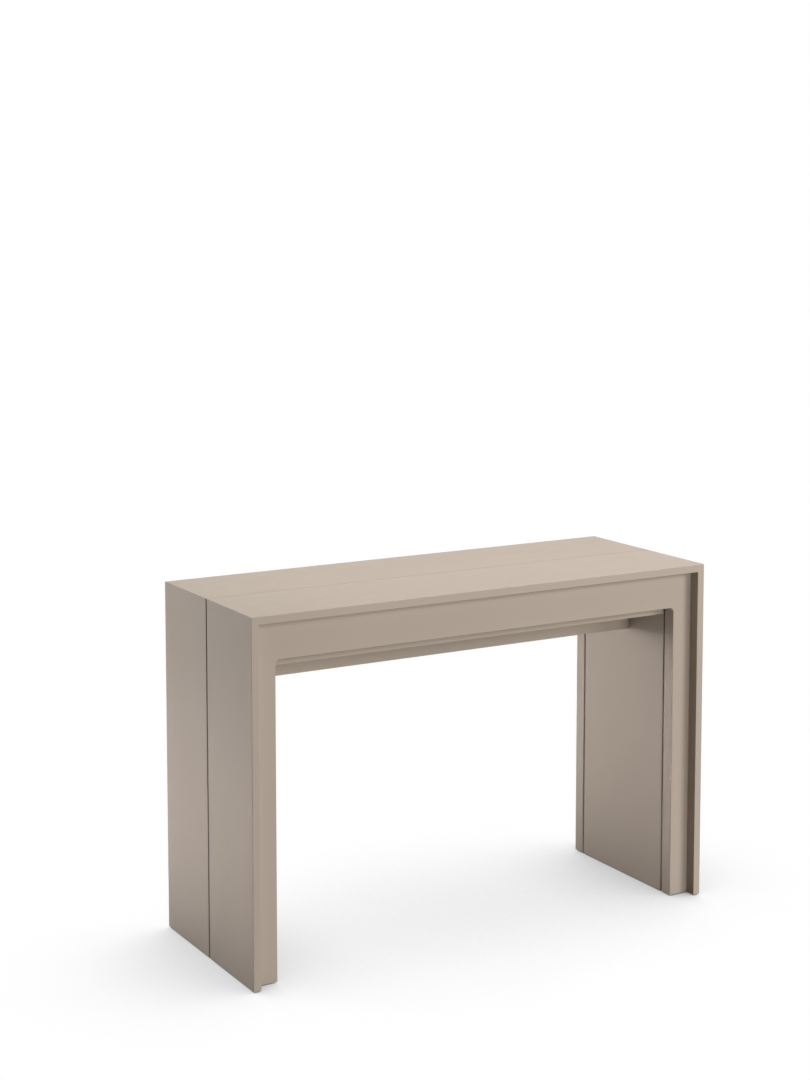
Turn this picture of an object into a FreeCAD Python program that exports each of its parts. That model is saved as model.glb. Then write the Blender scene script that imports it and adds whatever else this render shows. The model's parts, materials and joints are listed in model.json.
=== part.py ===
import FreeCAD, Part
import math
import os

V = FreeCAD.Vector

# Closed table, overall: X along the width, front at -Y, floor at Z = 0
WIDTH = 1120.0
DEPTH = 420.0
HEIGHT = 760.0

# Outer shell: two halves of mitred panels that meet at mid-depth
PANEL = 17.0
EDGE_ROUND = 1.0
ARRIS = 0.7
TOP_SEAM = 0.4
SIDE_SEAM = 4.0
SPLINE_T = 4.0
SPLINE_W = 10.0
SPLINE_SKIN = 2.0
SPLINE_INSET = 12.0
SPLINE_CLEAR = 0.1

# Inner frame of each half: apron and two posts in one piece
RECESS = 25.0
FRAME_T = 30.0
POST_W = 48.0
APRON_H = 80.0
FRAME_CORNER_R = 10.0

# Middle portal: board, two legs and a cross beam, nested between the frames
NEST_GAP = 5.0
LEG_T = 38.0
BOARD_T = 18.0
SLIDE_SPACE = 82.0
BEAM_T = 38.0
BEAM_H = 58.0

# Plastic glides under panels and legs
GLIDE_R = 7.0
GLIDE_H = 3.0
GLIDE_INSET = 27.0

# Slide bars: one aluminium section with a T-slot on each side and two hollow chambers
BAR_W = 18.0
BAR_H = 56.0
BAR_WALL = 2.0
SLOT_NECK = 14.0
SLOT_LIP = 2.5
SLOT_HEAD = 26.0
SLOT_DEPTH = 4.0
BAR_GAP = 1.0
BAR_HEADROOM = 1.0
SLIDE_INSET = 205.0
STAGES = 4

# Nylon runners: fixed in the slot of one bar, sliding in the slot of the next
RUNNER_L = 39.5
RUNNER_SEAT = 0.05
RUNNER_CLEAR = 0.3

# Saddles that carry the middle bars on the board
SADDLE_L = 30.0
SADDLE_Y = 100.0
BOLT_R = 3.0
BOLT_HEAD_R = 6.0
BOLT_HEAD_H = 4.0
COUNTERBORE = 5.0
NUT_W = 10.0
NUT_H = 5.0
BOLT_TIP = 1.0

# Glue blocks behind the apron
BLOCK_LEG = 40.0
BLOCK_H = 50.0
BLOCK_NOSE = 10.0

# Steel angles that hang the last bars on the apron
BRACKET_T = 3.0
BRACKET_BEND = 3.0
BRACKET_H = 50.0
BRACKET_L = 70.0
BRACKET_W = 40.0
BRACKET_HOLE = 24.0
BRACKET_PITCH = 26.0

# Rivets through those angles into the bars
RIVET_R = 2.4
RIVET_HEAD_R = 4.0
RIVET_HEAD_H = 1.5
RIVET_TAIL_R = 3.4
RIVET_TAIL_L = 3.0
RIVET_INSET = 20.0
RIVET_PITCH = 34.0

# Hexagon-head wood screws through those angles into the apron
SCREW_R = 2.4
SCREW_L = 22.0
SCREW_HEAD_R = 4.6
SCREW_HEAD_H = 3.0
TIP_ROOM = 0.5

# Long screws through the board into legs and beam
LONG_R = 2.8
LONG_L = 50.0
LONG_HEAD_R = 5.0
LONG_HEAD_H = 3.0
LONG_INSET = 60.0
LONG_BEAM_INSET = 75.0

# Pins in the seam of the top
PIN_R = 4.0
PIN_IN = 16.0
PIN_OUT = 14.0
PIN_NOSE = 1.5
PIN_INSET = 180.0
PIN_CLEAR = 0.3

# Room between a fastener and its hole, and between a fastener and its thread in wood
HOLE_CLEAR = 0.3
THREAD_CLEAR = 0.05

# Sides of small fasteners, and of the round seats for their heads
ROD_SIDES = 6
SEAT_SIDES = 12

# Places that follow from the sizes above
HALF_W = WIDTH / 2
INNER_X = HALF_W - PANEL
POST_X = INNER_X - POST_W
SLIDE_X = POST_X - SLIDE_INSET
LONG_BEAM_X = POST_X - LONG_BEAM_INSET
PIN_X = HALF_W - PIN_INSET
UNDER_TOP = HEIGHT - PANEL
APRON_BOTTOM = UNDER_TOP - APRON_H
FRONT_Y = -DEPTH / 2
FRAME_FRONT = FRONT_Y + RECESS
FRAME_BACK = FRAME_FRONT + FRAME_T
NEST_Y = FRAME_BACK + NEST_GAP
BOARD_TOP = UNDER_TOP - SLIDE_SPACE
BOARD_BOTTOM = BOARD_TOP - BOARD_T
LEG_X = POST_X + LEG_T
BAR_TOP = UNDER_TOP - BAR_HEADROOM
BAR_BOTTOM = BAR_TOP - BAR_H
BAR_MID = BAR_TOP - BAR_H / 2
BAR_PITCH = BAR_W + BAR_GAP
CHAMBER_H = (BAR_H - SLOT_HEAD) / 2 - 2 * BAR_WALL
CHAMBER_OFFSET = (BAR_H - CHAMBER_H) / 2 - BAR_WALL
SIDES = {"left": -1, "right": 1}
UP = V(0, 0, 1)
BACKWARD = V(0, 1, 0)


def box(x_ends, y_ends, z_ends):
    """A box between two values on each axis, given in any order."""
    low = V(min(x_ends), min(y_ends), min(z_ends))
    high = V(max(x_ends), max(y_ends), max(z_ends))
    size = high - low
    return Part.makeBox(size.x, size.y, size.z, low)


def prism(points, y_start, y_end):
    """An outline of (x, z) points, extruded along Y."""
    corners = [V(x, y_start, z) for x, z in points]
    face = Part.Face(Part.makePolygon(corners + corners[:1]))
    return face.extrude(V(0, y_end - y_start, 0))


def ease(solid, pick):
    """Round every edge for which pick(edge's box) is true."""
    edges = [edge for edge in solid.Edges if pick(edge.BoundBox)]
    return solid.makeFillet(EDGE_ROUND, edges)


def chamfer(solid, pick):
    """Take the arris off every edge for which pick(edge's box) is true."""
    edges = [edge for edge in solid.Edges if pick(edge.BoundBox)]
    return solid.makeChamfer(ARRIS, edges)


def near(a, b):
    return abs(a - b) < 1e-6


def to_rear(solids):
    """The same pieces on the rear half."""
    return [solid.mirror(V(0, 0, 0), BACKWARD) for solid in solids]


def rod(radius, length, place, sides=ROD_SIDES):
    """A many-sided rod from a point along an axis: small fasteners have few faces."""
    point, direction = place
    across = V(direction.y, direction.z, direction.x)
    corners = []
    for turn in range(sides):
        spoke = FreeCAD.Rotation(direction, 360 / sides * turn).multVec(across)
        corners.append(point + spoke * radius)
    face = Part.Face(Part.makePolygon(corners + corners[:1]))
    return face.extrude(direction * length)


def drill(solid, places, radius, length, sides=ROD_SIDES):
    """Cut the hole of a small fastener from each (point, direction) into a solid."""
    return solid.cut([rod(radius, length, place, sides) for place in places])


# Outer shell


def shell_half(seam):
    """Top and both sides of the front half in one, up to the given seam gap."""
    y_ends = (FRONT_Y, -seam / 2)
    outside = box((-HALF_W, HALF_W), y_ends, (GLIDE_H, HEIGHT))
    inside = box((-INNER_X, INNER_X), y_ends, (GLIDE_H, UNDER_TOP))

    def upper_corner(b):
        return b.YLength > 0 and near(b.ZMin, HEIGHT)

    def across_end(b, y):
        """Edges that run round the shell at one end, apart from its feet."""
        return near(b.YMin, y) and near(b.YMax, y) and b.ZMax > GLIDE_H

    def on_seam(b):
        return across_end(b, y_ends[1]) and (b.ZMax > UNDER_TOP or max(abs(b.XMin), abs(b.XMax)) > INNER_X)

    shell = chamfer(outside, upper_corner).cut(inside)
    shell = ease(shell, lambda b: across_end(b, FRONT_Y))
    return chamfer(shell, on_seam)


def mitre_wedge(side):
    """All space on the side panel's side of a mitre."""
    reach = PANEL
    outer = side * (HALF_W + reach)
    inner = side * (INNER_X - reach)
    points = [
        (outer, HEIGHT + reach),
        (inner, UNDER_TOP - reach),
        (inner, GLIDE_H - reach),
        (outer, GLIDE_H - reach),
    ]
    return prism(points, FRONT_Y - reach, reach)


def mitre_tongue(side, clearance):
    """A tongue square across a mitre, nearer to its inner corner, stopped short of both ends."""
    reach = (SPLINE_W + SPLINE_T) / 2 * math.sqrt(0.5)
    depth = PANEL - SPLINE_SKIN - reach
    centre_x = side * (HALF_W - depth)
    centre_z = HEIGHT - depth
    half_w = SPLINE_W / 2 + clearance
    half_t = SPLINE_T / 2 + clearance
    y_start = FRONT_Y + SPLINE_INSET - clearance
    y_end = -SPLINE_INSET + clearance
    tongue = box((-half_w, half_w), (y_start, y_end), (-half_t, half_t))
    tongue.rotate(V(0, 0, 0), BACKWARD, side * 45)
    tongue.translate(V(centre_x, 0, centre_z))
    return tongue


def glide_places(x, y_values):
    return [V(side * x, y, GLIDE_H) for side in SIDES.values() for y in y_values]


SHELL_GLIDES = glide_places(HALF_W - PANEL / 2, (FRONT_Y + GLIDE_INSET, -SIDE_SEAM / 2 - GLIDE_INSET))
LEG_GLIDES = glide_places(POST_X + LEG_T / 2, (NEST_Y + GLIDE_INSET, -NEST_Y - GLIDE_INSET))


def glide(place):
    return Part.makeCylinder(GLIDE_R, GLIDE_H, place, -UP)


def pin_places(y):
    return [V(side * PIN_X, y, HEIGHT - PANEL / 2) for side in SIDES.values()]


def seam_pin(place):
    """A pin set in the front half, with a chamfered nose that stands out of the seam edge."""
    body = Part.makeCylinder(PIN_R, PIN_IN + PIN_OUT, place - BACKWARD * PIN_IN, BACKWARD)
    nose = [edge for edge in body.Edges if near(edge.BoundBox.YMin, place.y + PIN_OUT)]
    return body.makeChamfer(PIN_NOSE, nose)


def corner_block(side):
    """A glue block in the corner of apron, top and side, with its free corner cut off."""
    back = FRAME_BACK + BLOCK_LEG
    outline = [
        V(side * INNER_X, FRAME_BACK, UNDER_TOP),
        V(side * (INNER_X - BLOCK_LEG), FRAME_BACK, UNDER_TOP),
        V(side * (INNER_X - BLOCK_LEG), FRAME_BACK + BLOCK_NOSE, UNDER_TOP),
        V(side * (INNER_X - BLOCK_NOSE), back, UNDER_TOP),
        V(side * INNER_X, back, UNDER_TOP),
    ]
    face = Part.Face(Part.makePolygon(outline + outline[:1]))
    return face.extrude(UP * -BLOCK_H)


def headed_rod(place, radius, length, head_radius, head_height):
    """A screw, bolt or rivet: its head stands out of the place that it is driven into."""
    point, direction = place
    head = rod(head_radius, head_height, (point, -direction))
    return head.fuse(rod(radius, length, place))


def wood_screw(place):
    return headed_rod(place, SCREW_R, SCREW_L, SCREW_HEAD_R, SCREW_HEAD_H)


# Slides


def bar_x(side, step):
    """Middle of a bar: step 0 is the middle bar, below 0 towards the front half's end bar."""
    return side * (SLIDE_X + step * BAR_PITCH)


def slide_bar(side, step):
    """One bar of the slides: T-slots on both sides, hollow chambers above and below them."""
    half = BAR_W / 2
    lip = half - SLOT_LIP
    floor = lip - SLOT_DEPTH
    neck = SLOT_NECK / 2
    head = SLOT_HEAD / 2
    rise = BAR_H / 2
    quarter = [(half, rise), (half, neck), (lip, neck), (lip, head), (floor, head)]
    right = quarter + [(x, -z) for x, z in reversed(quarter)]
    left = [(-x, -z) for x, z in right]
    x0 = bar_x(side, step)
    outline = [(x0 + x, BAR_MID + z) for x, z in right + left]
    bar = prism(outline, NEST_Y, -NEST_Y)
    inner = half - BAR_WALL
    for level in (BAR_MID - CHAMBER_OFFSET, BAR_MID + CHAMBER_OFFSET):
        z_ends = (level - CHAMBER_H / 2, level + CHAMBER_H / 2)
        bar = bar.cut(box((x0 - inner, x0 + inner), (NEST_Y, -NEST_Y), z_ends))
    return bar


def runner(side, fixed_step, free_step, y_start):
    """An I-shaped runner: seated in one bar's slot, free in the slot of the bar beside it."""
    towards = side if free_step > fixed_step else -side
    face = bar_x(side, fixed_step) + towards * BAR_W / 2
    head = SLOT_HEAD / 2
    neck = SLOT_NECK / 2 - RUNNER_CLEAR
    seat_in = -SLOT_LIP - SLOT_DEPTH + RUNNER_SEAT
    seat_out = -SLOT_LIP - RUNNER_SEAT
    free_in = BAR_GAP + SLOT_LIP + RUNNER_CLEAR
    free_out = BAR_GAP + SLOT_LIP + SLOT_DEPTH - RUNNER_CLEAR
    upper = [
        (seat_in, head - RUNNER_SEAT),
        (seat_out, head - RUNNER_SEAT),
        (seat_out, neck),
        (free_in, neck),
        (free_in, head - RUNNER_CLEAR),
        (free_out, head - RUNNER_CLEAR),
    ]
    outline = upper + [(x, -z) for x, z in reversed(upper)]
    points = [(face + towards * x, BAR_MID + z) for x, z in outline]
    return prism(points, y_start, y_start + RUNNER_L)


def front_runners(side, step):
    """Runners of a front bar: at its rear end towards the bar before, at its front end towards the next."""
    solids = []
    if step < 0:
        solids.append(runner(side, step, step + 1, -NEST_Y - RUNNER_L))
    if step > -STAGES:
        solids.append(runner(side, step, step - 1, NEST_Y))
    return solids


def rear_runners(side, step):
    """The same for the rear slide, whose bars lie on the other side of the middle bar."""
    solids = []
    if step > 0:
        solids.append(runner(side, step, step - 1, NEST_Y))
    if step < STAGES:
        solids.append(runner(side, step, step + 1, -NEST_Y - RUNNER_L))
    return solids


# Brackets of the end bars, worked out for the front half


def bracket_face(side, step):
    """The end bar's free face and the direction that it looks in."""
    outward = side if step > 0 else -side
    return bar_x(side, step) + outward * BAR_W / 2, outward


def bracket_screws(side, step):
    """Two screws of a bracket, forward into the apron."""
    face, outward = bracket_face(side, step)
    x = face + outward * BRACKET_HOLE
    y = FRAME_BACK + BRACKET_T
    levels = (BAR_MID - BRACKET_PITCH / 2, BAR_MID + BRACKET_PITCH / 2)
    return [(V(x, y, z), -BACKWARD) for z in levels]


def bracket_rivets(side, step):
    """Four rivets of a bracket, into the chambers above and below the slot."""
    face, outward = bracket_face(side, step)
    x = face + outward * BRACKET_T
    first = NEST_Y + RIVET_INSET
    places = []
    for z in (BAR_MID - CHAMBER_OFFSET, BAR_MID + CHAMBER_OFFSET):
        for y in (first, first + RIVET_PITCH):
            places.append((V(x, y, z), V(-outward, 0, 0)))
    return places


def bend(bracket, x, y, radius):
    """Round the upright edge of a bracket at this place."""
    edges = [edge for edge in bracket.Edges
             if near(edge.BoundBox.ZLength, BRACKET_H)
             and near(edge.BoundBox.XMin, x)
             and near(edge.BoundBox.YMin, y)]
    return bracket.makeFillet(radius, edges)


def slide_bracket(side, step):
    face, outward = bracket_face(side, step)
    z_ends = (BAR_MID - BRACKET_H / 2, BAR_MID + BRACKET_H / 2)
    along_bar = box((face, face + outward * BRACKET_T), (FRAME_BACK, FRAME_BACK + BRACKET_L), z_ends)
    on_apron = box((face, face + outward * BRACKET_W), (FRAME_BACK, FRAME_BACK + BRACKET_T), z_ends)
    bracket = along_bar.fuse(on_apron).removeSplitter()
    bracket = bend(bracket, face, FRAME_BACK, BRACKET_BEND + BRACKET_T)
    bracket = bend(bracket, face + outward * BRACKET_T, FRAME_BACK + BRACKET_T, BRACKET_BEND)
    bracket = drill(bracket, bracket_screws(side, step), SCREW_R + HOLE_CLEAR, BRACKET_T)
    return drill(bracket, bracket_rivets(side, step), RIVET_R + THREAD_CLEAR, BRACKET_T)


def rivet(place):
    """A blind rivet: head outside, shank through bracket and wall, set tail in the chamber."""
    point, direction = place
    grip = BRACKET_T + BAR_WALL
    tail = rod(RIVET_TAIL_R, RIVET_TAIL_L, (point + direction * grip, direction))
    return headed_rod(place, RIVET_R, grip, RIVET_HEAD_R, RIVET_HEAD_H).fuse(tail)


def end_bar(side, step, places):
    """A bar with holes for the rivets that hang it on a half."""
    bar = slide_bar(side, step)
    return drill(bar, places, RIVET_R + THREAD_CLEAR, BRACKET_T + BAR_WALL)


# Inner frame


def inner_frame(step):
    """Apron and two posts of the front half, drilled for the brackets of its end bars."""
    y_ends = (FRAME_FRONT, FRAME_BACK)
    plate = box((-INNER_X, INNER_X), y_ends, (GLIDE_H, UNDER_TOP))
    gap = box((-POST_X, POST_X), y_ends, (-FRAME_CORNER_R, APRON_BOTTOM))

    def upper_corner(b):
        return b.YLength > 0 and near(b.XLength, 0) and near(b.ZMin, APRON_BOTTOM)

    def round_gap(b):
        """The gap's outline on the front face."""
        beside = max(abs(b.XMin), abs(b.XMax)) < POST_X + ARRIS
        below = GLIDE_H + ARRIS < b.ZMax < APRON_BOTTOM + ARRIS
        return near(b.YMax, FRAME_FRONT) and beside and below

    corners = [edge for edge in gap.Edges if upper_corner(edge.BoundBox)]
    frame = chamfer(plate.cut(gap.makeFillet(FRAME_CORNER_R, corners)), round_gap)
    places = [place for side in SIDES.values() for place in bracket_screws(side, step)]
    return drill(frame, places, SCREW_R + THREAD_CLEAR, SCREW_L + TIP_ROOM)


# Middle portal


def long_screw_places():
    """Seats of the long screws' heads in the board: two over each leg, three along the beam."""
    over_legs = [(side * (POST_X + LEG_T / 2), y)
                 for side in SIDES.values()
                 for y in (NEST_Y + LONG_INSET, -NEST_Y - LONG_INSET)]
    over_beam = [(-LONG_BEAM_X, 0), (0, 0), (LONG_BEAM_X, 0)]
    return [(V(x, y, BOARD_TOP - LONG_HEAD_H), -UP) for x, y in over_legs + over_beam]


def long_screw(place):
    return headed_rod(place, LONG_R, LONG_L, LONG_HEAD_R, LONG_HEAD_H)


def drill_for_long_screws(solid, clearance):
    return drill(solid, long_screw_places(), LONG_R + clearance, LONG_L + TIP_ROOM)


def bolt_places():
    """Where the saddle bolts start, on the floor of their counterbores under the board."""
    places = [V(bar_x(side, 0), y, BOARD_BOTTOM + COUNTERBORE)
              for side in SIDES.values()
              for y in (-SADDLE_Y, SADDLE_Y)]
    return [(place, UP) for place in places]


BOLT_GRIP = BAR_BOTTOM + BAR_WALL - BOARD_BOTTOM - COUNTERBORE
BOLT_L = BOLT_GRIP + NUT_H + BOLT_TIP


def drill_for_bolts(solid):
    return drill(solid, bolt_places(), BOLT_R + HOLE_CLEAR, BOLT_GRIP)


def saddle_bolt(place):
    return headed_rod(place, BOLT_R, BOLT_L, BOLT_HEAD_R, BOLT_HEAD_H)


def saddle_nut(place):
    point, direction = place
    half = NUT_W / 2
    seat = point + direction * BOLT_GRIP
    nut = box((seat.x - half, seat.x + half), (seat.y - half, seat.y + half), (seat.z, seat.z + NUT_H))
    return drill(nut, [(seat, direction)], BOLT_R + THREAD_CLEAR, NUT_H)


def saddle(place):
    point = place[0]
    x_ends = (point.x - BAR_W / 2, point.x + BAR_W / 2)
    y_ends = (point.y - SADDLE_L / 2, point.y + SADDLE_L / 2)
    return drill_for_bolts(box(x_ends, y_ends, (BOARD_TOP, BAR_BOTTOM)))


def centre_board():
    board = box((-LEG_X, LEG_X), (NEST_Y, -NEST_Y), (BOARD_BOTTOM, BOARD_TOP))
    board = ease(board, lambda b: b.XLength > 0)
    board = drill_for_long_screws(board, HOLE_CLEAR)
    head_seats = [(point, -direction) for point, direction in long_screw_places()]
    board = drill(board, head_seats, LONG_HEAD_R + HOLE_CLEAR, LONG_HEAD_H, SEAT_SIDES)
    counterbores = [(point, -direction) for point, direction in bolt_places()]
    board = drill(board, counterbores, BOLT_HEAD_R + HOLE_CLEAR, COUNTERBORE, SEAT_SIDES)
    return drill_for_bolts(board)


def centre_leg(side):
    leg = box((side * POST_X, side * LEG_X), (NEST_Y, -NEST_Y), (GLIDE_H, BOARD_BOTTOM))
    leg = ease(leg, lambda b: b.ZLength > 0)
    return drill_for_long_screws(leg, THREAD_CLEAR)


def centre_beam():
    beam = box((-POST_X, POST_X), (-BEAM_T / 2, BEAM_T / 2), (BOARD_BOTTOM - BEAM_H, BOARD_BOTTOM))
    beam = ease(beam, lambda b: b.XLength > 0 and near(b.ZMax, BOARD_BOTTOM - BEAM_H))
    return drill_for_long_screws(beam, THREAD_CLEAR)


def middle_bar(side):
    return drill_for_bolts(slide_bar(side, 0))


def half_nodes(step, pin_room):
    """Every piece that both halves have, worked out at the front; step is the half's end bar."""
    sides = SIDES.values()
    rivets = [place for side in sides for place in bracket_rivets(side, step)]
    screws = [place for side in sides for place in bracket_screws(side, step)]
    wedges = [mitre_wedge(side) for side in sides]
    slots = [mitre_tongue(side, SPLINE_CLEAR) for side in sides]

    pin_holes = [Part.makeCylinder(PIN_R + pin_room, PIN_IN + TIP_ROOM, place, -BACKWARD)
                 for place in pin_places(-TOP_SEAM / 2)]
    nodes = {"top": [shell_half(TOP_SEAM).cut(wedges).cut(slots).cut(pin_holes)]}
    for name, wedge in zip(SIDES, wedges):
        nodes[name + "_side"] = [shell_half(SIDE_SEAM).common(wedge).cut(slots)]

    nodes["mitre_splines"] = [mitre_tongue(side, 0) for side in sides]
    nodes["frame"] = [inner_frame(step)]
    nodes["corner_blocks"] = [corner_block(side) for side in sides]
    nodes["slide_brackets"] = [slide_bracket(side, step) for side in sides]
    nodes["bracket_rivets"] = [rivet(place) for place in rivets]
    nodes["wood_screws"] = [wood_screw(place) for place in screws]
    nodes["glides"] = [glide(place) for place in SHELL_GLIDES]
    for name, side in SIDES.items():
        nodes["end_slide_" + name] = [end_bar(side, step, rivets)]
    return nodes


def build():
    nodes = {}
    for name, solids in half_nodes(-STAGES, THREAD_CLEAR).items():
        nodes["front_" + name] = solids
    for name, solids in half_nodes(STAGES, PIN_CLEAR).items():
        nodes["rear_" + name] = to_rear(solids)
    nodes["seam_pins"] = [seam_pin(place) for place in pin_places(-TOP_SEAM / 2)]

    sides = SIDES.values()
    nodes["front_end_runners"] = [s for side in sides for s in front_runners(side, -STAGES)]
    nodes["rear_end_runners"] = [s for side in sides for s in rear_runners(side, STAGES)]
    for stage in range(1, STAGES):
        for name, side in SIDES.items():
            nodes[f"front_slide_{stage}_{name}"] = [slide_bar(side, -stage)]
            nodes[f"rear_slide_{stage}_{name}"] = [slide_bar(side, stage)]
        nodes[f"front_slide_{stage}_runners"] = [s for side in sides for s in front_runners(side, -stage)]
        nodes[f"rear_slide_{stage}_runners"] = [s for side in sides for s in rear_runners(side, stage)]

    nodes["centre_board"] = [centre_board()]
    nodes["centre_beam"] = [centre_beam()]
    for name, side in SIDES.items():
        nodes[f"centre_{name}_leg"] = [centre_leg(side)]
        nodes[f"core_slide_{name}"] = [middle_bar(side)]
    nodes["core_runners"] = [s for side in sides for s in front_runners(side, 0) + rear_runners(side, 0)]
    nodes["board_screws"] = [long_screw(place) for place in long_screw_places()]
    nodes["centre_glides"] = [glide(place) for place in LEG_GLIDES]
    nodes["slide_saddles"] = [saddle(place) for place in bolt_places()]
    nodes["saddle_bolts"] = [saddle_bolt(place) for place in bolt_places()]
    nodes["saddle_nuts"] = [saddle_nut(place) for place in bolt_places()]
    return nodes


os.makedirs("parts", exist_ok=True)
for node, solids in build().items():
    shape = solids[0] if len(solids) == 1 else Part.makeCompound(solids)
    shape.exportStep("parts/" + node + ".step")
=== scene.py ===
import json
import math

import bmesh
import bpy
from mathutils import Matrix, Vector

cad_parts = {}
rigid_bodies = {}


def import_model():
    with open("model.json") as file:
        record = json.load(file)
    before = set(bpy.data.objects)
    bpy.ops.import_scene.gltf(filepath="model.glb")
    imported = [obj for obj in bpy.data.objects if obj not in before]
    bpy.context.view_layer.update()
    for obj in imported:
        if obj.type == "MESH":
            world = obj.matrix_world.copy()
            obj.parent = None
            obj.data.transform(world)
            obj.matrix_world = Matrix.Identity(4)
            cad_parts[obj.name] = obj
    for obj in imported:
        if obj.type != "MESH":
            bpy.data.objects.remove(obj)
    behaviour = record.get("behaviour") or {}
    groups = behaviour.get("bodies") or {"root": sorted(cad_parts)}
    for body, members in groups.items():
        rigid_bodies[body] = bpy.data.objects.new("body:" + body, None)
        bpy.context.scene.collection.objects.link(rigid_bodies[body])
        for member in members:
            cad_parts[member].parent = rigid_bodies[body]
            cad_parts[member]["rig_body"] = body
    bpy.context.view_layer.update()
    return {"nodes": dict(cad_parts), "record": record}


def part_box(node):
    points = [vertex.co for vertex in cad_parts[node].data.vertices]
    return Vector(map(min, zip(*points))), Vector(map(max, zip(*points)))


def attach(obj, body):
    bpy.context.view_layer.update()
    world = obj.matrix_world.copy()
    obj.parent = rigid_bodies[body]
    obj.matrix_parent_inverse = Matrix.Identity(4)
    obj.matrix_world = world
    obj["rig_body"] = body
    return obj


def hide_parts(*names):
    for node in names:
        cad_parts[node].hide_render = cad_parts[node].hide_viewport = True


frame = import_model()

# The camera that matches the photograph: the lens in its pixels, the place in metres, the angles in degrees
PHOTO_H = 1080
FOCAL_PX = 2004.66
PRINCIPAL_Y_PX = 388.8
EYE = (-2.2380, -3.6846, 1.5898)
EYE_TURN = 30.24
EYE_TILT = 5.66
SENSOR_MM = 36.0

# Studio: ambient light, lamps as (name, place, what it faces, width, height, watts)
AMBIENT = 0.02
LAMPS = [
    ("overhead_right", (1.2, -0.2, 2.6), (0.3, 0.0, 0.7), 1.6, 1.2, 30.6),
    ("overhead_left", (-0.45, 0.2, 2.1), (-0.4, 0.0, 0.76), 0.8, 0.8, 9.3),
    ("key", (3.4, -4.7, 2.5), (0.0, -0.2, 0.5), 2.2, 1.8, 190.5),
    ("front_fill", (0.6, -6.0, 1.2), (0.0, 0.0, 0.45), 2.0, 1.2, 135.5),
    ("left_rear", (-4.6, 3.6, 1.0), (0.0, 0.0, 0.4), 2.2, 1.4, 94.0),
    ("right_fill", (4.8, 2.2, 0.9), (0.0, 0.0, 0.4), 2.4, 1.4, 60.0),
    ("grid_low", (-3.6, 3.2, 0.15), (-0.4, 0.0, 0.25), 2.0, 0.2, 1.0),
    ("grid_inside", (-1.2, 4.2, 0.4), (0.5, 0.0, 0.45), 1.2, 0.3, 0.29),
]
# How wide a lamp's beam is in degrees, and the narrower beams of lamps that have a grid in front
FULL_SPREAD = 180.0
GRID_SPREAD = {"grid_low": 12.0, "grid_inside": 14.0}
# Lamps left out of reflections, so that tops and bars don't clip to white when seen from behind
NO_GLARE = ("key", "front_fill", *GRID_SPREAD)

# Floor: its size, and the light that it gives back to the table, which grows from front to rear over a span
# of Y in metres and falls off where the table hides the light from above
FLOOR_SIZE = 16.0
GLOW_FRONT = 0.105
GLOW_REAR = 1.44
GLOW_SPAN = (-0.6, 0.8)
GLOW_FALL = 4.6
# The floor as it is seen: how the light from above leans in X and Y, how far off the table still hides it
# and in how many samples that is found, how much of the light leaves the floor white, the darkest tone,
# and the last two again for the line of contact
SHADE_LEAN = (0.1, 0.1)
SHADE_REACH = 0.78
SHADE_SAMPLES = 12
SHADE_CLEAR = 0.84
SHADE_DARKEST = 0.29
CONTACT_CLEAR = 0.35
CONTACT_DARKEST = 0.3

# Seams of the shell: width of their chamfered arrises in metres, and how much painted shade darkens them
ARRIS = 0.0008
SEAM_PAINTED_SHADE = 0.6

# Detail: rounding of sharp edges by slot, in metres, and how finely turned pieces are divided
EDGE_EASE = {"aluminium": 0.00025, "zinc_steel": 0.0003, "nylon": 0.0004, "beech": 0.0005}
EASE_SEGMENTS = 2
EASE_ANGLE = 30.0
WELD_REACH = 1e-6
SHARP_ANGLE = 35.0
ROUND_SIDES = 24
GLIDE_SIDES = 36
PIN_SIDES = 64
PIN_FLUTES = 16
RINGS_PER_TURN = 5
DOME_STEPS = 6
MM = 0.001

# Ranges of a factor: where most of a noise lies, and all of it
NOISE_SPAN = (0.3, 0.7)
WHOLE_SPAN = (0.0, 1.0)
WHITE = (1, 1, 1, 1)


def colour(red, green, blue):
    """An sRGB colour of 0 to 255 as the linear colour that shaders take."""
    linear = []
    for value in (red, green, blue):
        share = value / 255
        linear.append(share / 12.92 if share <= 0.04045 else ((share + 0.055) / 1.055) ** 2.4)
    return (*linear, 1.0)


# Node trees


class Nodes:
    """Short calls that make and join the nodes of one tree."""

    def __init__(self, tree):
        self.tree = tree

    def node(self, kind, **settings):
        """A new node with some of its properties set."""
        made = self.tree.nodes.new(kind)
        for name, value in settings.items():
            setattr(made, name, value)
        return made

    def link(self, output, target):
        """Join an output to an input."""
        self.tree.links.new(output, target)

    def axes(self, vector):
        """The X, Y and Z outputs of a vector."""
        made = self.node("ShaderNodeSeparateXYZ")
        self.link(vector, made.inputs["Vector"])
        return made.outputs

    def result(self, operation, first, second=0.0):
        """What an operation makes of two outputs or numbers."""
        made = self.node("ShaderNodeMath", operation=operation)
        for value, target in zip((first, second), made.inputs):
            if isinstance(value, (int, float)):
                target.default_value = value
            else:
                self.link(value, target)
        return made.outputs["Value"]

    def spread(self, factor, low, high, inside=NOISE_SPAN):
        """A range of a factor spread from a low to a high number."""
        made = self.node("ShaderNodeMapRange")
        made.inputs["From Min"].default_value = inside[0]
        made.inputs["From Max"].default_value = inside[1]
        made.inputs["To Min"].default_value = low
        made.inputs["To Max"].default_value = high
        self.link(factor, made.inputs["Value"])
        return made.outputs["Result"]


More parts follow.
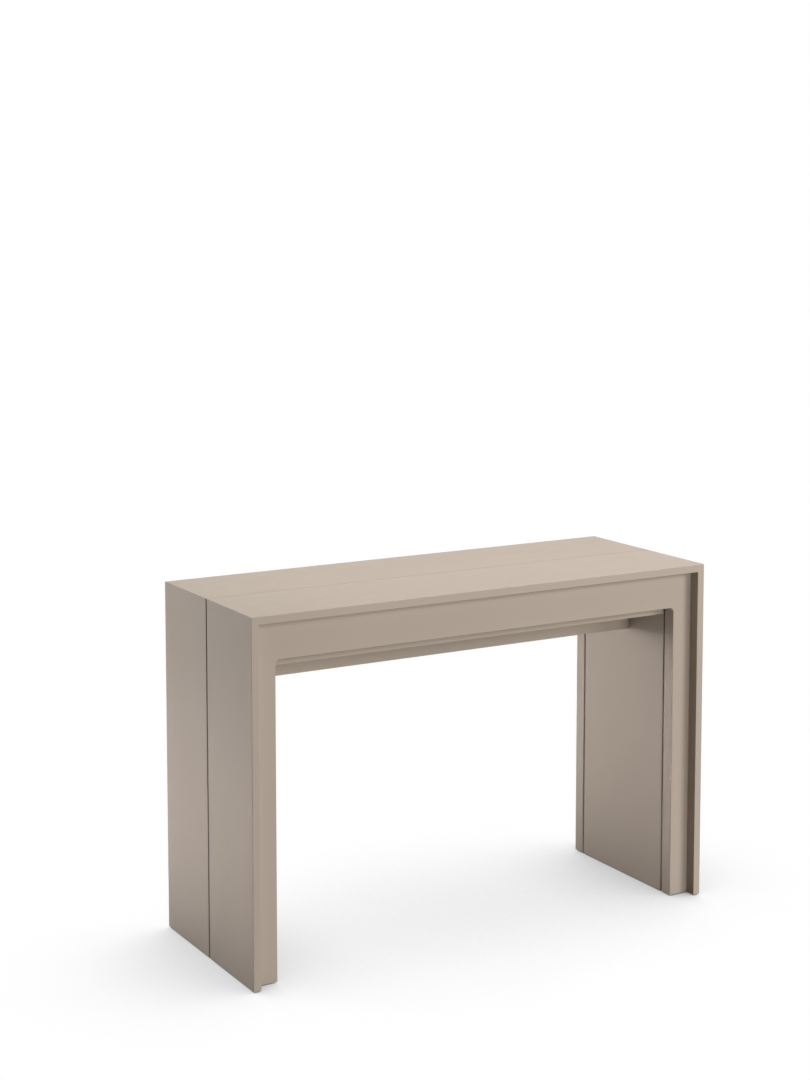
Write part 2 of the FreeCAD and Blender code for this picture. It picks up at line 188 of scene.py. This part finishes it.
class Shader(Nodes):
    """A material with one Principled shader, and calls for the nodes in front of it."""

    def __init__(self, name):
        self.material = bpy.data.materials.new(name)
        self.material.use_nodes = True
        super().__init__(self.material.node_tree)
        self.surface = self.tree.nodes["Principled BSDF"]
        self.place = self.node("ShaderNodeTexCoord").outputs["Object"]

    def set(self, **values):
        """Constants of the Principled shader, by socket name with _ for a space."""
        for name, value in values.items():
            self.surface.inputs[name.replace("_", " ")].default_value = value

    def feed(self, name, output):
        """Join an output to an input of the Principled shader."""
        self.link(output, self.surface.inputs[name])

    def stretched(self, scale):
        """The piece's own coordinates, times a factor on each axis."""
        mapping = self.node("ShaderNodeMapping")
        mapping.inputs["Scale"].default_value = scale
        self.link(self.place, mapping.inputs["Vector"])
        return mapping.outputs["Vector"]

    def noise(self, scale, detail=3.0, roughness=0.5, stretch=(1, 1, 1), distortion=0.0):
        """Noise with about this many features to the metre."""
        made = self.node("ShaderNodeTexNoise")
        made.inputs["Scale"].default_value = scale
        made.inputs["Detail"].default_value = detail
        made.inputs["Roughness"].default_value = roughness
        made.inputs["Distortion"].default_value = distortion
        self.link(self.stretched(stretch), made.inputs["Vector"])
        return made.outputs["Fac"]

    def between(self, factor, first, second, inside=NOISE_SPAN):
        """A colour that goes from the first to the second with the factor."""
        made = self.node("ShaderNodeValToRGB")
        made.color_ramp.elements[0].position = inside[0]
        made.color_ramp.elements[1].position = inside[1]
        made.color_ramp.elements[0].color = first
        made.color_ramp.elements[1].color = second
        self.link(factor, made.inputs["Fac"])
        return made.outputs["Color"]

    def shaded(self, base, factor, darkest, inside=NOISE_SPAN):
        """A colour output darkened by a factor, down to a share of itself."""
        made = self.node("ShaderNodeMix", data_type="RGBA", blend_type="MULTIPLY")
        made.inputs["Factor"].default_value = 1.0
        shade = (darkest, darkest, darkest, 1.0)
        self.link(base, made.inputs["A"])
        self.link(self.between(factor, shade, WHITE, inside), made.inputs["B"])
        return made.outputs["Result"]

    def bumps(self, *layers):
        """Bumps from (height output, depth in metres, strength) layers, one on the other."""
        normal = None
        for height, depth, strength in layers:
            made = self.node("ShaderNodeBump")
            made.inputs["Distance"].default_value = depth
            made.inputs["Strength"].default_value = strength
            self.link(height, made.inputs["Height"])
            if normal is not None:
                self.link(normal, made.inputs["Normal"])
            normal = made.outputs["Normal"]
        self.feed("Normal", normal)


# Finishes, one for each material slot


def outside_painted_seam_shade(shader):
    """Mask for painted shade: 0 on the arrises of the shell's seams and between them, 1 elsewhere."""
    top_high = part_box("front_top")[1]
    side_low, side_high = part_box("front_right_side")
    place = shader.axes(shader.place)
    across = shader.result("ABSOLUTE", place["X"])
    depth = shader.result("ABSOLUTE", place["Y"])
    at_top = shader.result("GREATER_THAN", place["Z"], top_high[2] - ARRIS)
    at_side = shader.result("GREATER_THAN", across, side_low[0])
    beyond_top = shader.result("GREATER_THAN", depth, ARRIS - top_high[1])
    beyond_side = shader.result("GREATER_THAN", depth, ARRIS - side_high[1])
    off_top = shader.result("MAXIMUM", beyond_top, shader.result("SUBTRACT", 1.0, at_top))
    off_side = shader.result("MAXIMUM", beyond_side, shader.result("SUBTRACT", 1.0, at_side))
    off_side = shader.result("MAXIMUM", off_side, at_top)
    return shader.result("MINIMUM", off_top, off_side)


def taupe_lacquer():
    """Matt sprayed lacquer: fine orange peel, slightly uneven tone and sheen, painted shade in seams."""
    shader = Shader("taupe_lacquer")
    cloud = shader.noise(2.5, detail=2.0)
    peel = shader.noise(850.0, detail=2.0)
    dust = shader.noise(2600.0, detail=1.0)
    tone = shader.between(cloud, colour(183, 169, 155), colour(186, 172, 158))
    # painted shade: the seams' arrises and the faces inside the seams are darkened in the colour
    tone = shader.shaded(tone, outside_painted_seam_shade(shader), SEAM_PAINTED_SHADE, WHOLE_SPAN)
    shader.feed("Base Color", shader.shaded(tone, dust, 0.975))
    shader.feed("Roughness", shader.spread(shader.noise(30.0), 0.50, 0.58))
    shader.set(Specular_IOR_Level=0.22)
    shader.bumps((peel, 0.00008, 0.35), (dust, 0.00002, 0.3))
    return shader.material


def beech():
    """Bare planed beech: growth bands along the length and short dark flecks."""
    shader = Shader("beech")
    band = shader.noise(55.0, detail=4.0, stretch=(1, 0.06, 1), distortion=0.6)
    fibre = shader.noise(900.0, detail=3.0, stretch=(1, 0.03, 1))
    fleck = shader.noise(420.0, detail=1.0, stretch=(1, 0.12, 1))
    tone = shader.between(band, colour(190, 147, 104), colour(216, 178, 136))
    tone = shader.shaded(tone, fleck, 0.72, inside=(0.30, 0.40))
    shader.feed("Base Color", shader.shaded(tone, fibre, 0.9))
    shader.feed("Roughness", shader.spread(fibre, 0.55, 0.7))
    shader.set(Specular_IOR_Level=0.35)
    shader.bumps((fibre, 0.00015, 0.35))
    return shader.material


def aluminium():
    """Mill-finish extrusion: die lines along the bar, patches of duller skin."""
    shader = Shader("aluminium")
    die_line = shader.noise(1400.0, detail=2.0, stretch=(1, 0.004, 1))
    patch = shader.noise(22.0, detail=3.0, stretch=(1, 0.35, 1))
    tone = shader.between(patch, colour(186, 187, 190), colour(204, 205, 208))
    shader.feed("Base Color", shader.shaded(tone, die_line, 0.93))
    shader.feed("Roughness", shader.spread(patch, 0.44, 0.54))
    shader.set(Metallic=1.0, Anisotropic=0.3)
    shader.bumps((die_line, 0.00006, 0.3))
    return shader.material


def nylon():
    """Black moulded nylon with a fine spark-eroded skin."""
    shader = Shader("nylon")
    skin = shader.noise(1500.0, detail=2.0)
    cloud = shader.noise(60.0)
    shader.feed("Base Color", shader.between(cloud, colour(33, 33, 34), colour(43, 43, 44)))
    shader.feed("Roughness", shader.spread(skin, 0.40, 0.55))
    shader.set(Specular_IOR_Level=0.45)
    shader.bumps((skin, 0.00006, 0.4))
    return shader.material


def zinc_steel():
    """Bright zinc plate: a cloudy blue-grey with soft rolling marks below."""
    shader = Shader("zinc_steel")
    cloud = shader.noise(90.0, detail=4.0)
    roll = shader.noise(1100.0, detail=2.0, stretch=(0.05, 1, 1))
    shader.feed("Base Color", shader.between(cloud, colour(176, 180, 187), colour(205, 207, 210)))
    shader.feed("Roughness", shader.spread(cloud, 0.26, 0.42))
    shader.set(Metallic=1.0)
    shader.bumps((roll, 0.00004, 0.25))
    return shader.material


def glide_plastic():
    """Off-white polyethylene, a little waxy."""
    shader = Shader("glide_plastic")
    cloud = shader.noise(120.0)
    skin = shader.noise(2000.0, detail=1.0)
    shader.feed("Base Color", shader.between(cloud, colour(218, 216, 211), colour(228, 226, 222)))
    shader.feed("Roughness", shader.spread(skin, 0.42, 0.52))
    shader.set(Subsurface_Weight=0.08, Subsurface_Scale=0.002)
    shader.bumps((skin, 0.00004, 0.3))
    return shader.material


MAKERS = (taupe_lacquer, beech, aluminium, nylon, zinc_steel, glide_plastic)
FINISHES = {make.__name__: make() for make in MAKERS}
SLOT_OF = {row["node"]: row["material_slot"] for row in frame["record"]["subparts"]}


# The frame's own nodes


def ease_edges(node, width):
    """Round a node's sharp edges by a width in metres, with its mesh as it is."""
    piece = frame["nodes"][node]
    weld = piece.modifiers.new("weld", "WELD")
    weld.merge_threshold = WELD_REACH
    bevel = piece.modifiers.new("bevel", "BEVEL")
    bevel.width = width
    bevel.segments = EASE_SEGMENTS
    bevel.limit_method = "ANGLE"
    bevel.angle_limit = math.radians(EASE_ANGLE)
    bevel.harden_normals = True


def dress_nodes():
    """Give every node of the frame the finish of its slot, and round the edges that are still sharp."""
    for node, slot in SLOT_OF.items():
        mesh = frame["nodes"][node].data
        mesh.materials.clear()
        mesh.materials.append(FINISHES[slot])
        if slot in EDGE_EASE:
            ease_edges(node, EDGE_EASE[slot])


# Fasteners, pins and glides: rings of points round an axis, joined into one closed skin each


def solid_boxes(node):
    """The lowest and highest corners of each separate solid in a node."""
    work = bmesh.new()
    work.from_mesh(frame["nodes"][node].data)
    bmesh.ops.remove_doubles(work, verts=work.verts, dist=WELD_REACH)
    left = set(work.verts)
    boxes = []
    while left:
        found = [left.pop()]
        for vert in found:
            for edge in vert.link_edges:
                other = edge.other_vert(vert)
                if other in left:
                    left.remove(other)
                    found.append(other)
        places = [vert.co for vert in found]
        low = Vector([min(place[i] for place in places) for i in range(3)])
        high = Vector([max(place[i] for place in places) for i in range(3)])
        boxes.append((low, high))
    work.free()
    return sorted(boxes, key=lambda box: tuple(box[0]))


def round_ring(radius):
    """A circle."""
    return lambda angle: radius


def hexagon_ring(across):
    """A hexagon by its width across the flats."""
    sixth = math.pi / 3
    return lambda angle: across / 2 / math.cos(angle % sixth - sixth / 2)


def lobed_ring(radius, depth):
    """The outline of a six-lobe drive."""
    return lambda angle: radius - depth * (1 - math.cos(6 * angle)) / 2


def fluted_ring(radius, depth):
    """Narrow grooves round a pin."""
    return lambda angle: radius - depth * max(0.0, math.cos(PIN_FLUTES * angle)) ** 2


def round_rings(*steps):
    """Circles at steps of (depth, radius)."""
    return [(depth, round_ring(radius)) for depth, radius in steps]


def thread(start, end, core, crest, pitch):
    """Rings along a thread that runs out at both ends."""
    rings = []
    steps = round((end - start) / pitch * RINGS_PER_TURN)
    for step in range(steps + 1):
        depth = start + (end - start) * step / steps
        fade = min(1.0, step / RINGS_PER_TURN, (steps - step) / RINGS_PER_TURN)

        def radius(angle, depth=depth, fade=fade):
            turn = (depth / pitch - angle / math.tau) % 1.0
            return core + (crest - core) * fade * (1 - abs(2 * turn - 1))

        rings.append((depth, radius))
    return rings


def dome(radius, height, inner):
    """Rings of a rounded head, from an inner radius out to its rim."""
    rings = []
    for step in range(DOME_STEPS + 1):
        reach = inner + (radius - inner) * step / DOME_STEPS
        fall = 1 - math.sqrt(max(0.0, 1 - (reach / radius) ** 2))
        rings.append((height * fall, round_ring(reach)))
    return rings


def turned(work, start, axis, rings, sides):
    """Add one closed skin: rings of (depth along the axis, radius by angle), in millimetres."""
    across = axis.orthogonal().normalized()
    along = axis.cross(across)
    rows = []
    for depth, radius in rings:
        row = []
        for side in range(sides):
            angle = math.tau * side / sides
            spoke = across * math.cos(angle) + along * math.sin(angle)
            row.append(work.verts.new(start + (axis * depth + spoke * radius(angle)) * MM))
        rows.append(row)
    for first, second in zip(rows, rows[1:]):
        for side in range(sides):
            after = (side + 1) % sides
            work.faces.new((first[side], first[after], second[after], second[side]))
    work.faces.new(reversed(rows[0]))
    work.faces.new(rows[-1])


def turned_pieces(node, drive, rings, sides=ROUND_SIDES):
    """One detailed piece in place of a node: every solid of it turned along its own drive direction."""
    work = bmesh.new()
    for low, high in solid_boxes(node):
        middle = (low + high) / 2
        axis = Vector(drive(middle))
        reach = abs((high - low).dot(axis)) / 2
        turned(work, middle - axis * reach, axis, rings, sides)
    bmesh.ops.recalc_face_normals(work, faces=work.faces)
    mesh = bpy.data.meshes.new(node + "_detail")
    work.to_mesh(mesh)
    work.free()
    mesh.shade_smooth()
    mesh.set_sharp_from_angle(angle=math.radians(SHARP_ANGLE))
    mesh.materials.append(FINISHES[SLOT_OF[node]])
    piece = bpy.data.objects.new(node + "_detail", mesh)
    bpy.context.scene.collection.objects.link(piece)
    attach(piece, frame["nodes"][node]["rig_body"])
    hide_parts(node)


def wood_screw_rings():
    """A hexagon head with a chamfered crown and a washer face, a plain neck and a wood thread."""
    flats = hexagon_ring(7.9)
    crown = round_rings((0.0, 2.6), (0.1, 3.4), (0.25, 3.8))
    head = [(0.75, flats), (2.6, flats)]
    washer = round_rings((2.7, 3.9), (3.0, 3.9))
    neck = round_rings((3.0, 2.35), (6.4, 2.35))
    screw = thread(6.8, 23.4, core=1.65, crest=2.38, pitch=2.0)
    tip = round_rings((24.2, 1.2), (25.0, 0.25))
    return crown + head + washer + neck + screw + tip


def board_screw_rings():
    """A flat head with a six-lobe drive, a plain shank and a coarse thread."""
    drive = [(1.9, lobed_ring(1.9, 0.45)), (0.25, lobed_ring(2.2, 0.5)), (0.0, lobed_ring(2.45, 0.5))]
    head = round_rings((0.0, 4.5), (0.2, 4.85), (0.6, 4.98), (2.7, 4.98), (3.0, 4.7))
    shank = round_rings((3.0, 2.6), (22.0, 2.6))
    screw = thread(22.5, 51.2, core=1.9, crest=2.78, pitch=2.6)
    tip = round_rings((52.0, 1.3), (53.0, 0.25))
    return drive + head + shank + screw + tip


def saddle_bolt_rings():
    """A button head with a hexagon socket over a metric thread."""
    flats = hexagon_ring(4.0)
    socket = [(2.4, flats), (0.3, flats), (0.0, hexagon_ring(4.4))]
    crown = round_rings((0.0, 3.0), (0.3, 4.2), (1.0, 5.2), (2.2, 5.8))
    head = round_rings((3.4, 5.98), (3.9, 5.98), (4.0, 5.8))
    shank = round_rings((4.0, 2.98), (20.0, 2.98))
    screw = thread(20.5, 49.4, core=2.5, crest=2.98, pitch=1.0)
    return socket + crown + head + shank + screw + round_rings((50.0, 2.3))


def rivet_rings():
    """A domed head with the mandrel broken off below its top, and the tail set in the bar's chamber."""
    mandrel = round_rings((0.45, 0.8), (0.5, 1.0), (0.1, 1.1))
    head = dome(radius=4.0, height=1.3, inner=1.3) + round_rings((1.5, 3.95))
    shank = round_rings((1.5, 2.4), (6.5, 2.4))
    tail = round_rings((6.5, 2.9), (7.0, 3.35), (8.0, 3.4), (9.0, 3.0), (9.5, 2.0))
    return mandrel + head + shank + tail


def pin_rings():
    """A fluted dowel with a bevelled nose at each end."""
    length = 30.0
    body = fluted_ring(3.98, 0.3)
    nose = [(0.0, fluted_ring(2.6, 0.1)), (0.5, fluted_ring(3.2, 0.2)), (1.5, fluted_ring(3.95, 0.3))]
    other = [(length - depth, radius) for depth, radius in reversed(nose)]
    return nose + [(10.0, body), (20.0, body)] + other


def glide_rings():
    """A moulded glide: a rim under the wood, a rounded sole and the head of its nail, sunk in the middle."""
    rim = round_rings((0.0, 6.7), (0.2, 6.95), (1.1, 7.0))
    sole = round_rings((1.9, 6.85), (2.5, 6.4), (2.9, 5.6), (3.0, 4.8))
    well = round_rings((3.0, 2.6), (2.85, 2.4), (2.0, 2.3))
    nail = round_rings((2.0, 1.9), (1.7, 1.7), (1.6, 0.8))
    return rim + sole + well + nail


def make_fasteners():
    """Detailed pieces in place of screws, rivets, bolts, pins and glides, with the way each is driven in."""
    def away_from_middle(middle):
        return (math.copysign(1, middle.x), 0, 0)

    def towards_middle(middle):
        return (-math.copysign(1, middle.x), 0, 0)

    turned_pieces("front_wood_screws", lambda middle: (0, -1, 0), wood_screw_rings())
    turned_pieces("rear_wood_screws", lambda middle: (0, 1, 0), wood_screw_rings())
    turned_pieces("front_bracket_rivets", away_from_middle, rivet_rings())
    turned_pieces("rear_bracket_rivets", towards_middle, rivet_rings())
    turned_pieces("board_screws", lambda middle: (0, 0, -1), board_screw_rings())
    turned_pieces("saddle_bolts", lambda middle: (0, 0, 1), saddle_bolt_rings())
    turned_pieces("seam_pins", lambda middle: (0, -1, 0), pin_rings(), PIN_SIDES)
    for node in ("front_glides", "rear_glides", "centre_glides"):
        turned_pieces(node, lambda middle: (0, 0, -1), glide_rings(), GLIDE_SIDES)


# Studio


def make_camera():
    """The photograph's view: tilted down a little, with the lens shifted for the rest."""
    data = bpy.data.cameras.new("camera")
    data.sensor_width = SENSOR_MM
    data.lens = FOCAL_PX / PHOTO_H * SENSOR_MM
    data.shift_y = (PRINCIPAL_Y_PX - PHOTO_H / 2) / PHOTO_H
    camera = bpy.data.objects.new("camera", data)
    camera.location = EYE
    camera.rotation_euler = (math.radians(90 - EYE_TILT), 0, math.radians(-EYE_TURN))
    bpy.context.scene.collection.objects.link(camera)
    bpy.context.scene.camera = camera


def make_lamp(name, place, facing, width, height, watts):
    """A soft rectangular lamp. GRID_SPREAD narrows its beam, NO_GLARE leaves it out of reflections."""
    data = bpy.data.lights.new(name, "AREA")
    data.shape = "RECTANGLE"
    data.size = width
    data.size_y = height
    data.energy = watts
    data.spread = math.radians(GRID_SPREAD.get(name, FULL_SPREAD))
    lamp = bpy.data.objects.new(name, data)
    lamp.location = place
    lamp.visible_camera = False
    lamp.visible_glossy = name not in NO_GLARE
    lamp.rotation_euler = (Vector(facing) - Vector(place)).to_track_quat("-Z", "Y").to_euler()
    bpy.context.scene.collection.objects.link(lamp)


def seen_directly(nodes):
    """1 for rays from the camera and for reflections, 0 for the light that falls on things."""
    rays = nodes.node("ShaderNodeLightPath").outputs
    seen = nodes.result("MAXIMUM", rays["Is Camera Ray"], rays["Is Glossy Ray"])
    return nodes.result("MAXIMUM", seen, rays["Is Transmission Ray"])


def make_world():
    """A white background for the camera and for reflections, over a lower ambient light."""
    world = bpy.data.worlds.new("studio")
    bpy.context.scene.world = world
    world.use_nodes = True
    nodes = Nodes(world.node_tree)
    background = nodes.tree.nodes["Background"]
    background.inputs["Color"].default_value = WHITE
    strength = nodes.spread(seen_directly(nodes), AMBIENT, 1.0, WHOLE_SPAN)
    nodes.link(strength, background.inputs["Strength"])


def light_from_above(nodes):
    """The share of the light from above that the table doesn't hide from a point of the floor."""
    up = nodes.node("ShaderNodeCombineXYZ")
    for axis, value in zip("XYZ", (*SHADE_LEAN, 1.0)):
        up.inputs[axis].default_value = value
    hidden = nodes.node("ShaderNodeAmbientOcclusion", samples=SHADE_SAMPLES)
    hidden.inputs["Distance"].default_value = SHADE_REACH
    nodes.link(up.outputs["Vector"], hidden.inputs["Normal"])
    return hidden.outputs["AO"]


def floor_strength(nodes, position):
    """How bright the floor is: shaded white where it is seen, and its glow for the light on the table."""
    share = light_from_above(nodes)
    tone = nodes.spread(share, SHADE_DARKEST, 1.0, inside=(0.0, SHADE_CLEAR))
    contact = nodes.spread(share, CONTACT_DARKEST, 1.0, inside=(0.0, CONTACT_CLEAR))
    level = nodes.spread(nodes.axes(position)["Y"], GLOW_FRONT, GLOW_REAR, GLOW_SPAN)
    fall = nodes.result("POWER", share, GLOW_FALL)
    strength = nodes.node("ShaderNodeMix")
    nodes.link(seen_directly(nodes), strength.inputs["Factor"])
    nodes.link(nodes.result("MULTIPLY", fall, level), strength.inputs["A"])
    nodes.link(nodes.result("MULTIPLY", tone, contact), strength.inputs["B"])
    return strength.outputs["Result"]


def floor_finish():
    """White light on the upper side, clear on the lower one."""
    material = bpy.data.materials.new("floor")
    material.use_nodes = True
    material.cycles.emission_sampling = "NONE"
    nodes = Nodes(material.node_tree)
    nodes.tree.nodes.clear()
    place = nodes.node("ShaderNodeNewGeometry").outputs
    white = nodes.node("ShaderNodeEmission")
    nodes.link(floor_strength(nodes, place["Position"]), white.inputs["Strength"])
    clear = nodes.node("ShaderNodeBsdfTransparent")
    either_side = nodes.node("ShaderNodeMixShader")
    nodes.link(place["Backfacing"], either_side.inputs["Fac"])
    nodes.link(white.outputs["Emission"], either_side.inputs[1])
    nodes.link(clear.outputs["BSDF"], either_side.inputs[2])
    output = nodes.node("ShaderNodeOutputMaterial")
    nodes.link(either_side.outputs["Shader"], output.inputs["Surface"])
    return material


def make_floor():
    """A white floor, shaded where the table hides the light from above, that can't be seen from below."""
    mesh = bpy.data.meshes.new("floor")
    half = FLOOR_SIZE / 2
    corners = [(-half, -half, 0), (half, -half, 0), (half, half, 0), (-half, half, 0)]
    mesh.from_pydata(corners, [], [(0, 1, 2, 3)])
    mesh.materials.append(floor_finish())
    floor = bpy.data.objects.new("floor", mesh)
    bpy.context.scene.collection.objects.link(floor)


dress_nodes()
make_fasteners()
make_camera()
make_world()
make_floor()
for lamp in LAMPS:
    make_lamp(*lamp)
bpy.context.scene.view_settings.view_transform = "Standard"
